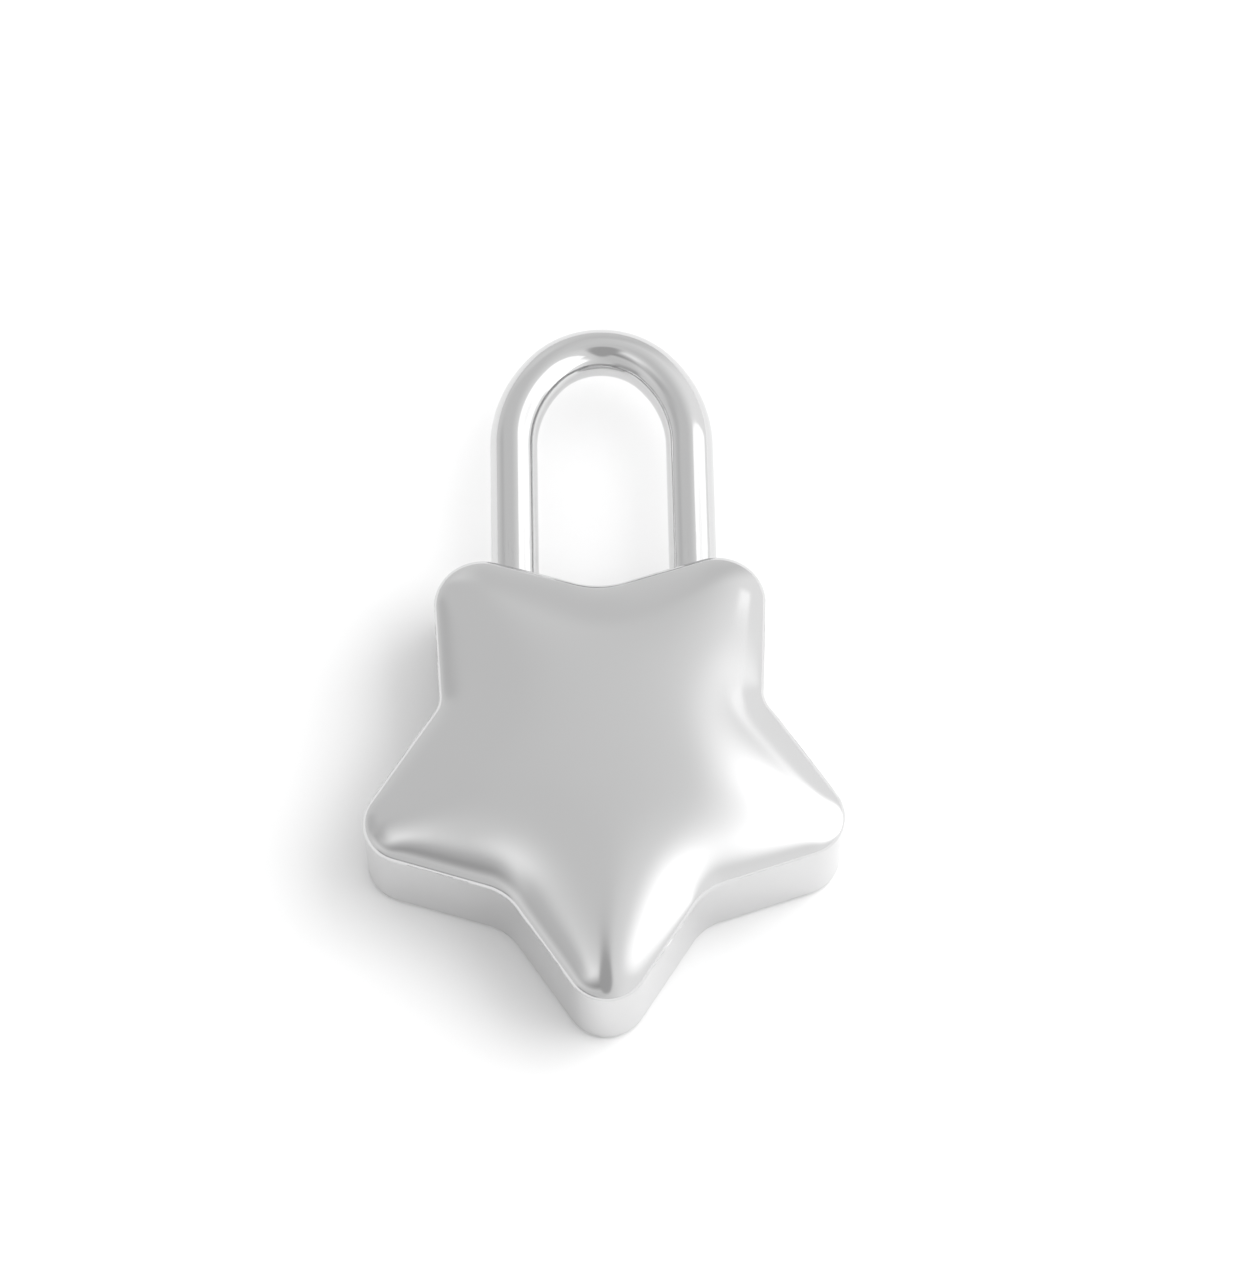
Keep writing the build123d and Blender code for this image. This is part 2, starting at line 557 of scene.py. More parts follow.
def make_plate(name: str, low: Pair, high: Pair) -> bpy.types.Object:
    """Flat rectangle at height 0 that faces up.

    Args:
        name: The object's name.
        low: Its near left corner, in millimetres.
        high: Its far right corner, in millimetres.

    Returns:
        The object, linked to the scene.
    """
    (left, near), (right, far) = low, high
    corners = [(left, near, 0.0), (right, near, 0.0), (right, far, 0.0), (left, far, 0.0)]
    return make_piece(name, np.array(corners), [(0, 1, 2, 3)])


def points_of(piece: bpy.types.Object) -> np.ndarray:
    """Points of a piece's mesh, in millimetres."""
    points = np.empty(len(piece.data.vertices) * 3, np.float32)
    piece.data.vertices.foreach_get("co", points)
    return points.reshape(-1, 3).astype(float) / MM


def keep_number(piece: bpy.types.Object, name: str, values: np.ndarray) -> None:
    """Keeps a number for each vertex on the mesh.

    Args:
        piece: The piece.
        name: Name that a material reads.
        values: One number per vertex.
    """
    attribute = piece.data.attributes.new(name, "FLOAT", "POINT")
    attribute.data.foreach_set("value", values.astype(np.float32))


def rod_rings(radii: np.ndarray, heights: np.ndarray, columns: int) -> np.ndarray:
    """Rings of a round rod along +Z: x is radius times cosine, y is radius times sine, z is the height.

    Args:
        radii: Radius of each ring.
        heights: Height of each ring.
        columns: Points round a ring.

    Returns:
        Points shaped rings by columns by 3.
    """
    angle = np.linspace(0.0, 2.0 * np.pi, columns, endpoint=False)
    x = radii[:, None] * np.cos(angle)
    y = radii[:, None] * np.sin(angle)
    return np.stack([x, y, np.broadcast_to(heights[:, None], x.shape)], -1)


def smooth_share(values: np.ndarray, low: float, high: float) -> np.ndarray:
    """Smooth step from 0 at low to 1 at high: 3 t squared minus 2 t cubed of the clipped share t."""
    share = np.clip((values - low) / (high - low), 0.0, 1.0)
    return share * share * (3.0 - 2.0 * share)


@dataclass
class StarOutline:
    """Outline of the star at its side wall, from corner points that are then rounded."""

    top_notch_y: float = 6.60
    shoulder: Pair = (6.30, 8.45)
    side_notch: Pair = (5.98, 2.05)
    arm: Pair = (9.70, -3.45)
    lower_notch: Pair = (3.64, -5.37)
    bottom_point_y: float = -10.80
    shoulder_radius: float = 1.80
    arm_radius: float = 1.55
    bottom_radius: float = 1.55
    top_notch_radius: float = 3.30
    side_notch_radius: float = 1.10
    lower_notch_radius: float = 2.05
    arc_points: int = 24
    edge_points: int = 20

    def corners(self) -> tuple[np.ndarray, np.ndarray]:
        """Corners clockwise from the top notch, with the left half as the mirrored right half.

        Returns:
            Corner points, and their roundings with a minus sign for a notch.
        """
        right = [self.shoulder, self.side_notch, self.arm, self.lower_notch]
        left = [(-x, y) for x, y in reversed(right)]
        half = [self.shoulder_radius, -self.side_notch_radius, self.arm_radius, -self.lower_notch_radius]
        roundings = [-self.top_notch_radius, *half, self.bottom_radius, *reversed(half)]
        points = [(0.0, self.top_notch_y), *right, (0.0, self.bottom_point_y), *left]
        return np.array(points), np.array(roundings)

    def loop(self) -> np.ndarray:
        """Points of the outline, counter-clockwise.

        Each corner becomes an arc that touches its two edges, and each edge is the straight line between
        two arcs. The points of an arc are even in angle, and those of an edge are closer together near
        the arcs.

        Returns:
            Points shaped columns by 2.
        """
        corners, roundings = self.corners()
        before = np.roll(corners, 1, 0) - corners
        before /= np.linalg.norm(before, axis=1, keepdims=True)
        ahead = np.roll(corners, -1, 0) - corners
        ahead /= np.linalg.norm(ahead, axis=1, keepdims=True)
        half_turn = (np.pi - np.arccos((before * ahead).sum(1))) / 2.0
        radii = np.abs(roundings)
        towards = before + ahead
        towards /= np.linalg.norm(towards, axis=1, keepdims=True)
        centres = corners + towards * (radii / np.cos(half_turn))[:, None]
        start = (corners + before * (radii * np.tan(half_turn))[:, None] - centres)[:, None]
        angle = np.linspace(0.0, 1.0, self.arc_points) * (-np.sign(roundings) * 2.0 * half_turn)[:, None]
        cosine, sine = np.cos(angle), np.sin(angle)
        arc_x = start[..., 0] * cosine - start[..., 1] * sine
        arc_y = start[..., 0] * sine + start[..., 1] * cosine
        arcs = centres[:, None] + np.stack([arc_x, arc_y], -1)
        share = smooth_share(np.linspace(0.0, 1.0, self.edge_points + 2)[1:-1, None], 0.0, 1.0)
        leave = arcs[:, -1][:, None]
        meet = np.roll(arcs[:, 0], -1, 0)[:, None]
        lines = leave + (meet - leave) * share
        return np.concatenate([arcs, lines], 1).reshape(-1, 2)[::-1]


@dataclass
class PuffedForm:
    """Puffed face, whose height follows from its depth, a smooth distance from the outline."""

    ridge_sharpness: float = 2.0
    rim_radius: float = 0.30
    crown_growth: float = 15.0
    crown_power: float = 14.0
    rows: int = 110
    sum_pieces: int = 6
    sum_block: int = 8000
    profile_steps: int = 4000
    column_steps: int = 240
    column_crowding: float = 2.2

    def depth(self, points: np.ndarray, loop: np.ndarray) -> np.ndarray:
        """Smooth depth of points inside a closed loop.

        It is the sum over the loop's short pieces of length over distance to the power of the sharpness
        plus one, scaled so that it gives the plain distance from a straight edge, and raised to minus one
        over the sharpness. A higher sharpness gives crisper ridges from the star's points.

        Args:
            points: Points in the plane, with x and y last.
            loop: Points of the loop.

        Returns:
            Depth of each point.
        """
        p = self.ridge_sharpness
        ahead = np.roll(loop, -1, 0) - loop
        pieces = self.sum_pieces
        share = (np.arange(pieces) + 0.5) / pieces
        middle = (loop[:, None] + ahead[:, None] * share[:, None]).reshape(-1, 2)
        length = np.repeat(np.linalg.norm(ahead, axis=1) / pieces, pieces)
        scale = math.sqrt(math.pi) * math.gamma(p / 2.0) / math.gamma((p + 1.0) / 2.0)
        flat = points.reshape(-1, 2)
        result = np.empty(len(flat))
        for low in range(0, len(flat), self.sum_block):
            part = flat[low : low + self.sum_block]
            squares = (part[:, :1] - middle[:, 0]) ** 2 + (part[:, 1:] - middle[:, 1]) ** 2
            weight = squares ** (-(p + 1.0) / 2.0)
            result[low : low + self.sum_block] = (weight @ length / scale) ** (-1.0 / p)
        return result.reshape(points.shape[:-1])

    def profile(self) -> tuple[np.ndarray, np.ndarray, np.ndarray]:
        """Profile of the face from its upright rim to where it would be level.

        The radius of curvature is the rim radius, plus the crown growth times a high power of the slope's
        cosine, so the rim is tight and the crown is nearly level. Depth and height are summed over small
        turns.

        Returns:
            Slopes as angles from level, depths and heights.
        """
        slope = np.linspace(math.pi / 2.0, 0.0, self.profile_steps + 1)
        middle = (slope[1:] + slope[:-1]) / 2.0
        crown = self.crown_growth * np.cos(middle) ** self.crown_power
        arc = (self.rim_radius + crown) * (slope[0] - slope[1])
        start = np.zeros(1)
        depth = np.concatenate([start, np.cumsum(arc * np.cos(middle))])
        return slope, depth, np.concatenate([start, np.cumsum(arc * np.sin(middle))])

    def rings(self, loop: np.ndarray) -> tuple[np.ndarray, float]:
        """Rings of equal depth, each with its height above the wall.

        Each column runs straight from a point of the outline to the centre. The depth is worked out at
        steps along it, and the place of each ring is read off between two steps. The rings are even in
        the profile's turn plus its way to the middle.

        Args:
            loop: Points of the outline.

        Returns:
            Points shaped rings by columns by 3, and the height at the middle.
        """
        steps = np.linspace(0.0, 1.0, self.column_steps) ** self.column_crowding
        along = loop[None] * (1.0 - steps[1:, None, None])
        depth = self.depth(along, loop)
        depth = np.concatenate([np.zeros((1, len(loop))), np.maximum.accumulate(depth, 0)])
        deepest = float(depth[-1, 0])
        slope, run, rise = self.profile()
        way = 1.0 - np.sqrt(np.maximum(1.0 - run / deepest, 0.0))
        turned = 1.0 - slope / (math.pi / 2.0)
        measure = turned + way
        inside = run < deepest
        even = np.linspace(0.0, 1.0 + float(np.interp(deepest, run, turned)), self.rows)
        levels = np.append(np.interp(even[:-1], measure[inside], run[inside]), deepest)
        heights = np.interp(levels, run, rise)
        share = np.stack([np.interp(levels, depth[:, j], steps) for j in range(len(loop))], 1)
        flat = loop[None] * (1.0 - share[..., None])
        level = np.broadcast_to(heights[:, None, None], (*share.shape, 1))
        rings = np.concatenate([flat, level], -1)[:-1]
        return rings, float(heights[-1])


@dataclass
class StarCase:
    """The cast star: side wall, flat back, puffed face, two leg bores and the keeper pin's hole."""

    leg_height: float
    bore_radius: float
    pin_hole_radius: float
    outline: StarOutline = field(default_factory=StarOutline)
    form: PuffedForm = field(default_factory=PuffedForm)
    wall_height: float = 4.33
    back_edge_radius: float = 0.30
    pin_overshoot: float = 1.0
    back_rings: int = 12
    turn_rings: int = 9
    wall_rings: int = 16
    hole_columns: int = 96
    hollow_reach: float = 0.5
    hollow_from_y: float = 4.0
    edge_above_wall: float = 0.3
    edge_reach: float = 0.5
    finish: PolishedCase = field(default_factory=PolishedCase)
    bore_finish: BoredHole = field(default_factory=BoredHole)

    def skin(self) -> tuple[np.ndarray, Faces]:
        """Closed skin of the star before its bores.

        From the middle of the back, rings grow to the back's edge, turn up round a small arc that is set
        in by a true offset of the outline, rise along the wall, and follow the puffed face to the middle.

        Returns:
            The vertices and the faces.
        """
        loop = self.outline.loop()
        edge = np.concatenate([loop, np.zeros((len(loop), 1))], 1)
        along = np.roll(edge, -1, 0) - np.roll(edge, 1, 0)
        outward = np.stack([along[:, 1], -along[:, 0], np.zeros(len(along))], -1)
        outward /= np.linalg.norm(outward, axis=1, keepdims=True)
        turn = np.linspace(0.0, math.pi / 2, self.turn_rings)[:, None, None]
        up = np.array([0.0, 0.0, 1.0])
        rounded = edge - outward * self.back_edge_radius * (1.0 - np.sin(turn))
        rounded = rounded + up * self.back_edge_radius * (1.0 - np.cos(turn))
        grow = np.linspace(0.0, 1.0, self.back_rings + 2)[1:-1, None, None]
        back = rounded[:1] * grow
        heights = np.linspace(self.back_edge_radius, self.wall_height, self.wall_rings + 2)
        wall = edge + up * heights[1:-1, None, None]
        face, top = self.form.rings(loop)
        rings = np.concatenate([back, rounded, wall, face + up * self.wall_height])
        return closed_tube(rings, np.zeros(3), up * (self.wall_height + top))

    def cutter(self, name: str, radius: float, length: float) -> bpy.types.Object:
        """Round rod that cuts a hole, along +Z from the origin.

        Args:
            name: The rod's name.
            radius: Its radius.
            length: Its length.

        Returns:
            The rod.
        """
        heights = np.array([0.0, length])
        rings = rod_rings(np.full(2, radius), heights, self.hole_columns)
        vertices, faces = closed_tube(rings, np.zeros(3), np.array([0.0, 0.0, length]))
        return make_piece(name, vertices, faces)

    def build(self, shift: np.ndarray, legs: Sequence[Triple], pin: Triple) -> bpy.types.Object:
        """Makes the star, cuts its holes and dresses it.

        Args:
            shift: Place of the star's centre in the row frame.
            legs: For each leg's bore, its x, the y of its blind end and the y that it is cut to.
            pin: The pin hole's x, y and depth.

        Returns:
            The finished star.
        """
        vertices, faces = self.skin()
        star = make_piece("star_case", vertices + shift, faces)
        star.data.materials.append(self.finish.material())
        bored = self.bore_finish.material()
        rods = []
        for x, low, high in legs:
            rod = self.cutter("bore_rod", self.bore_radius, high - low)
            turned = Matrix.Rotation(math.radians(-90.0), 4, "X")
            rod.data.transform(Matrix.Translation(Vector((x, low, self.leg_height)) * MM) @ turned)
            rods.append(rod)
        rod = self.cutter("pin_rod", self.pin_hole_radius, pin[2] + self.pin_overshoot)
        rod.data.transform(Matrix.Translation(Vector((pin[0], pin[1], -self.pin_overshoot)) * MM))
        rods.append(rod)
        for rod in rods:
            rod.data.materials.append(bored)
            cut = star.modifiers.new("cut", "BOOLEAN")
            cut.operation = "DIFFERENCE"
            cut.solver = "EXACT"
            cut.material_mode = "TRANSFER"
            cut.object = rod
        settled = star.evaluated_get(bpy.context.evaluated_depsgraph_get())
        mesh = bpy.data.meshes.new_from_object(settled)
        star.modifiers.clear()
        star.data = mesh
        for rod in rods:
            bpy.data.objects.remove(rod)
        mesh.shade_smooth()
        mesh.set_sharp_from_angle(angle=SHARP_EDGE)
        self.mark(star, shift, legs)
        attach(star, Body.CASE.value)
        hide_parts("star_body")
        return star

    def mark(self, star: bpy.types.Object, shift: np.ndarray, legs: Sequence[Triple]) -> None:
        """Keeps on the mesh where the metal is duller and carries painted shade, and where edges are rubbed
        bright.

        The mask for duller metal and painted shade is 1 at the leg mouths and on the back, and fades over
        half a millimetre. edge is 1 on the rim's turn.

        Args:
            star: The star.
            shift: Place of the star's centre.
            legs: The legs' bores.
        """
        points = points_of(star)
        # Mask for duller metal and painted shade at the leg mouths and the foot of the wall.
        dull_and_shaded = np.zeros(len(points))
        for x, _, _ in legs:
            away = np.hypot(points[:, 0] - x, points[:, 2] - self.leg_height)
            near = 1.0 - smooth_share(away, self.bore_radius, self.bore_radius + self.hollow_reach)
            dull_and_shaded = np.maximum(dull_and_shaded, near * (points[:, 1] > shift[1] + self.hollow_from_y))
        # The foot of the wall takes the painted shade where the star meets the table.
        dull_and_shaded = np.maximum(dull_and_shaded, 1.0 - smooth_share(points[:, 2], 0.0, self.hollow_reach))
        from_turn = np.abs(points[:, 2] - self.wall_height - self.edge_above_wall)
        edge = 1.0 - smooth_share(from_turn, 0.0, self.edge_reach)
        keep_number(star, "dull_and_shaded", dull_and_shaded)
        keep_number(star, "edge", edge)


@dataclass
class Shackle:
    """Round wire: a long leg with a neck and a foot, an arch and a short leg with a rounded tip."""

    pin_radius: float
    wire_radius: float = 0.90
    bore_clearance: float = 0.05
    leg_spacing: float = 6.70
    offset: float = 0.20
    leg_height: float = 3.10
    arch_start_y: float = 13.10
    arch_rise: float = 4.00
    arch_top_radius: float = 2.90
    short_leg_depth: float = 2.50
    tip_radius: float = 0.25
    lift: float = 3.20
    pin_depth: float = 2.60
    neck_radius: float = 0.50
    neck_clearance: float = 0.05
    neck_end_gap: float = 0.10
    foot_length: float = 1.00
    foot_chamfer: float = 0.15
    bore_end_gap: float = 0.40
    rub_length: float = 3.0
    columns: int = 72
    long_rings: int = 39
    side_rings: int = 17
    top_rings: int = 59
    short_rings: int = 29
    tip_rings: int = 7
    finish: PolishedWire = field(default_factory=PolishedWire)

    def mouth_y(self, outline: StarOutline, x: float) -> float:
        """Height of the star's top edge at a leg, on the line from the top notch to the shoulder."""
        climb = (outline.shoulder[1] - outline.top_notch_y) / outline.shoulder[0]
        return outline.top_notch_y + climb * abs(x)

    def settle(self, outline: StarOutline) -> None:
        """Works out the places of the legs' parts from the star's outline.

        Args:
            outline: The star's outline.
        """
        self.long_x = self.offset - self.leg_spacing / 2.0
        self.short_x = self.offset + self.leg_spacing / 2.0
        self.pin_y = self.mouth_y(outline, self.long_x) - self.pin_depth
        self.pin_x = self.long_x - self.neck_radius - self.neck_clearance - self.pin_radius
        self.neck_top = self.pin_y + self.pin_radius + self.neck_end_gap
        self.neck_low = self.pin_y - self.pin_radius - self.lift - self.neck_end_gap
        self.long_end = self.neck_low - self.foot_length
        self.short_mouth = self.mouth_y(outline, self.short_x)
        self.short_end = self.short_mouth - self.short_leg_depth

    def bores(self, mouth: float) -> list[Triple]:
        """The legs' bores, each as its x, the y of its blind end and the y that it is cut to."""
        legs = ((self.long_x, self.long_end), (self.short_x, self.short_end))
        return [(x, end - self.bore_end_gap, mouth) for x, end in legs]

    def path(self) -> tuple[np.ndarray, np.ndarray, np.ndarray]:
        """Middle line of the wire from the foot to the tip, with its radius.

        The legs are straight and the arch is three arcs that meet smoothly: a flat one on each side and a
        rounder one over the top. Along the long leg the radius steps in at the foot's chamfer and at the
        neck, and at the tip it follows a quarter circle.

        Returns:
            Points in the plane of the wire, unit tangents, and radii.
        """
        half = self.leg_spacing / 2.0
        drop = self.arch_rise - self.arch_top_radius
        side = (half**2 + drop**2 - self.arch_top_radius**2) / (2.0 * (half - self.arch_top_radius))
        join = math.atan2(drop, side - half)
        r, neck = self.wire_radius, self.neck_radius
        foot = self.long_end
        lower = np.array(
            [
                (foot, r - self.foot_chamfer),
                (foot + self.foot_chamfer, r),
                (self.neck_low, r),
                (self.neck_low, neck),
                (self.neck_top, neck),
                (self.neck_top, r),
            ]
        )
        rising = np.linspace(self.neck_top, self.arch_start_y, self.long_rings + 1)[1:]
        long_y = np.concatenate([lower[:, 0], rising])
        long_radius = np.concatenate([lower[:, 1], np.full(len(rising), r)])
        flat = np.linspace(0.0, join, self.side_rings + 1)[1:]
        over = np.linspace(join, math.pi - join, self.top_rings + 1)[1:]
        falling = np.linspace(self.arch_start_y, self.short_end + self.tip_radius, self.short_rings + 1)[1:]
        turn = np.linspace(0.0, math.pi / 2, self.tip_rings + 1)[1:]

        left_x = -(side * np.cos(flat) - (side - half))
        left_y = side * np.sin(flat)
        top_x = -self.arch_top_radius * np.cos(over)
        top_y = drop + self.arch_top_radius * np.sin(over)
        right_x, right_y = -left_x[::-1][1:], left_y[::-1][1:]
        arch_x = np.concatenate([left_x, top_x, right_x, [half]]) + self.offset
        arch_y = np.concatenate([left_y, top_y, right_y, [0.0]]) + self.arch_start_y
        arch_angle = np.concatenate([flat, over, np.pi - flat[::-1][1:], [math.pi]])
        tip_y = self.short_end + self.tip_radius * (1.0 - np.sin(turn))
        tip_radius = r - self.tip_radius * (1.0 - np.cos(turn))

        last = len(falling) + len(turn)
        x = np.concatenate([np.full(len(long_y), self.long_x), arch_x, np.full(last, self.short_x)])
        y = np.concatenate([long_y, arch_y, falling, tip_y])
        angle = np.concatenate([np.zeros(len(long_y)), arch_angle, np.full(last, math.pi)])
        radius = np.concatenate([long_radius, np.full(len(arch_x) + len(falling), r), tip_radius])
        tangent = np.stack([np.sin(angle), np.cos(angle)], -1)
        return np.stack([x, y], -1), tangent, radius

    def build(self, shift: np.ndarray) -> bpy.types.Object:
        """Makes the wire and dresses it.

        A point of a ring is the middle line plus the radius times the cosine of the ring's angle across
        the wire's plane and its sine out of the plane.

        Args:
            shift: Place of the star's centre in the row frame.

        Returns:
            The finished shackle.
        """
        line, tangent, radius = self.path()
        across = np.stack([-tangent[:, 1], tangent[:, 0]], -1)
        angle = np.linspace(0.0, 2.0 * np.pi, self.columns, endpoint=False)
        plane = line[:, None] + across[:, None] * (radius[:, None] * np.cos(angle))[..., None]
        height = self.leg_height + radius[:, None] * np.sin(angle)
        rings = np.concatenate([plane, height[..., None]], -1)
        start = np.array([self.long_x, self.long_end, self.leg_height])
        end = np.array([self.short_x, self.short_end, self.leg_height])
        vertices, faces = closed_tube(rings, start, end)
        wire = make_piece("shackle_wire", vertices + shift, faces)
        wire.data.set_sharp_from_angle(angle=SHARP_EDGE)
        self.lay_uv(wire, line)
        points = points_of(wire)
        above = points[:, 1] - shift[1]
        rub = 1.0 - smooth_share(above, self.short_mouth, self.short_mouth + self.rub_length)
        keep_number(wire, "rub", rub)
        wire.data.materials.append(self.finish.material())
        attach(wire, Body.SHACKLE.value)
        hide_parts("shackle")
        return wire

    def lay_uv(self, wire: bpy.types.Object, line: np.ndarray) -> None:
        """UV map with u round the wire from 0 to 1 and v along it in millimetres.

        Args:
            wire: The wire.
            line: Its middle line.
        """
        length = np.concatenate([[0.0], np.cumsum(np.linalg.norm(np.diff(line, axis=0), axis=1))])
        corners = np.empty(len(wire.data.loops), np.int32)
        wire.data.loops.foreach_get("vertex_index", corners)
        row = np.minimum(corners // self.columns, len(line) - 1)
        u = np.abs(2.0 * (corners % self.columns) / self.columns - 1.0)
        layer = wire.data.uv_layers.new(name="along_wire")
        layer.data.foreach_set("uv", np.stack([u, length[row]], -1).astype(np.float32).ravel())


@dataclass
class KeeperPin:
    """Hidden plain pin, seen only as a small sunk disc in the back."""

    radius: float = 0.40
    length: float = 4.60
    recess: float = 0.05
    edge: float = 0.04
    hole_gap: float = 0.02
    columns: int = 48
    finish: GroundPin = field(default_factory=GroundPin)

    def build(self, x: float, y: float, shift: np.ndarray) -> bpy.types.Object:
        """Makes the pin as a round rod with broken edges and dresses it.

        Args:
            x: Place of its axis from the star's centre.
            y: Place of its axis from the star's centre.
            shift: Place of the star's centre in the row frame.

        Returns:
            The finished pin.
        """
        rising = [self.radius * 0.5, self.radius - self.edge, self.radius]
        radii = np.array(rising + rising[::-1])
        foot = np.array([0.0, 0.0, self.edge])
        heights = np.concatenate([foot, self.length - foot[::-1]]) + self.recess
        rings = rod_rings(radii, heights, self.columns)
        low, high = np.array([0.0, 0.0, self.recess]), np.array([0.0, 0.0, self.recess + self.length])
        vertices, faces = closed_tube(rings, low, high)
        pin = make_piece("keeper_pin_rod", vertices + shift + np.array([x, y, 0.0]), faces)
        pin.data.set_sharp_from_angle(angle=SHARP_EDGE)
        centre = (shift + np.array([x, y, self.recess])) * MM
        pin.data.materials.append(self.finish.material(centre.tolist()))
        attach(pin, Body.CASE.value)
        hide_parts("keeper_pin")
        return pin


@dataclass(frozen=True)
class StudioSky:
    """What lights the charm and what its metal mirrors: a pale grey room, brighter on the right.

    A pair with two places gives where a smooth step starts and where it ends, in the direction's x, y or
    z, or in the distance from a centre.
    """

    left_tone: float = 0.746
    right_lift: float = 0.336
    lift_span: Pair = (-0.232, 0.593)
    lean_from: float = 0.70
    far_lean: float = 2.1
    far_tone: float = 0.897
    far_x: Pair = (0.01, -0.38)
    far_y: Pair = (0.70, 0.84)
    ring_centre: Pair = (-0.237, 0.051)
    ring_tone: float = 0.46
    ring_drop: float = 0.487
    ring_inner: Pair = (0.183, 0.396)
    ring_outer: Pair = (0.685, 0.489)
    ring_x: Pair = (0.15, -0.04)
    ring_y: Pair = (0.42, -0.10)
    edge_tone: float = 0.64
    edge_right: Pair = (-0.60, -0.80)
    edge_left: Pair = (-0.95, -0.88)
    edge_far: Pair = (0.62, 0.42)
    edge_near: Pair = (-0.05, 0.15)
    glow_centre: Pair = (-0.415, -0.234)
    glow_reach: Pair = (0.83, 0.50)
    glow_lift: float = 0.66
    camera_centre: Pair = (-0.03, -0.33)
    camera_reach: Pair = (0.15, 0.36)
    camera_fade: Pair = (1.35, 0.85)
    camera_tone: float = 0.47
    horizon_tone: float = 0.83
    horizon_z: Pair = (0.54, 0.03)
    horizon_x: Pair = (0.51, 0.0)
    low_tone: float = 0.50
    low_z: Pair = (0.45, 0.15)
    low_x: Pair = (-0.20, -0.45)
    low_y: Pair = (-0.40, -0.60)
    seen: float = 0.95

    def build(self) -> None:
        """Writes the world's nodes.

        The tone rises evenly from left to right, later so on the far side. The far left is a little
        brighter. Round a point near straight up there is a darker ring on the left and near sides, which
        darkens further towards the near side. A soft glow lifts the near left, and a dark stretch stands
        at the left. The camera is a dark oval on the near side. Low down on the left the room is pale,
        but dull on the near left. Each area's edge is a smooth step. The camera itself sees a plain pale
        background.
        """
        world = bpy.context.scene.world or bpy.data.worlds.new("studio")
        bpy.context.scene.world = world
        world.use_nodes = True
        graph = Graph(world.node_tree)
        x, y, z = graph.parts(graph.node("ShaderNodeTexCoord").outputs["Generated"])

        across = x - (y - self.lean_from).most(0.0) * self.far_lean
        tone = self.left_tone + across.step(*self.lift_span) * self.right_lift
        tone = tone.toward(self.far_tone, x.step(*self.far_x) * y.step(*self.far_y))
        away = self.oval(x, y, self.ring_centre, (1.0, 1.0))
        ring = away.step(*self.ring_inner) * away.step(*self.ring_outer)
        ring = ring * y.step(*self.ring_y) * x.step(*self.ring_x)
        tone = tone.toward(self.ring_tone + y * self.ring_drop, ring)
        sides = x.step(*self.edge_right) * x.step(*self.edge_left)
        tone = tone.toward(self.edge_tone, sides * y.step(*self.edge_far) * y.step(*self.edge_near))
        glow = (1.0 - self.oval(x, y, self.glow_centre, self.glow_reach)).most(0.0)
        tone = tone + glow * glow * self.glow_lift
        camera = self.oval(x, y, self.camera_centre, self.camera_reach)
        tone = tone.toward(self.camera_tone, camera.step(*self.camera_fade))
        tone = tone.toward(self.horizon_tone, z.step(*self.horizon_z) * x.step(*self.horizon_x))
        low = z.step(*self.low_z) * x.step(*self.low_x) * y.step(*self.low_y)
        tone = tone.toward(self.low_tone, low)
        seen = Term(graph, graph.node("ShaderNodeLightPath").outputs["Is Camera Ray"])
        background = graph.node("ShaderNodeBackground", {}, {"Color": tone.toward(self.seen, seen)})
        graph.node("ShaderNodeOutputWorld", {}, {"Surface": background.outputs[0]})

    def oval(self, x: Term, y: Term, centre: Pair, reach: Pair) -> Term:
        """Distance from an oval's centre, as a share of its half-lengths.

        Args:
            x: The direction's x.
            y: The direction's y.
            centre: The oval's centre.
            reach: Its half-lengths.

        Returns:
            0 at the centre and 1 on the oval.
        """
        return ((x - centre[0]) / reach[0]).length_with((y - centre[1]) / reach[1])


@dataclass(frozen=True)
class GlowPanel:
    """A soft-edged white panel over the charm. Only the metal's mirror images show it."""

    name: str = "glow_panel"
    right_angle: float = 24.0
    distance: float = 20.0
    left_edge: float = 0.3
    right_edge: float = 40.0
    near_edge: float = -13.5
    far_edge: float = 2.5
    edge_half: float = 4.0
    radiance: float = 2.42

    def build(self) -> bpy.types.Object:
        """Places the panel.

        It faces the charm, leaned from straight up towards the right. Its brightness falls away over a
        smooth step across each edge, and what lies behind it shows there.

        Returns:
            The panel.
        """
        reach = self.edge_half
        left, right = self.left_edge - reach, self.right_edge + reach
        near, far = self.near_edge - reach, self.far_edge + reach
        panel = make_plate(self.name, (left, near), (right, far))
        panel.data.materials.append(self.material())
        lean = math.radians(self.right_angle)
        panel.location = Vector((math.sin(lean), 0.0, math.cos(lean))) * (self.distance * MM)
        panel.rotation_euler = (0.0, lean, 0.0)
        panel.visible_camera = False
        panel.visible_diffuse = False
        panel.visible_shadow = False
        return panel

    def material(self) -> bpy.types.Material:
        """Glow in the middle, clear at the edges.

        Returns:
            The material.
        """
        made, graph = fresh_material(self.name)
        x, y = (part * (1.0 / MM) for part in graph.parts(graph.place())[:2])
        half = self.edge_half
        share = x.step(self.left_edge - half, self.left_edge + half)
        share = share * x.step(self.right_edge + half, self.right_edge - half)
        share = share * y.step(self.near_edge - half, self.near_edge + half)
        share = share * y.step(self.far_edge + half, self.far_edge - half)
        clear = graph.node("ShaderNodeBsdfTransparent")
        glow = graph.node("ShaderNodeEmission", {}, {"Strength": self.radiance})
        mixed = graph.node("ShaderNodeMixShader", {}, {0: share, 1: clear.outputs[0], 2: glow.outputs[0]})
        graph.node("ShaderNodeOutputMaterial", {}, {"Surface": mixed.outputs[0]})
        return made


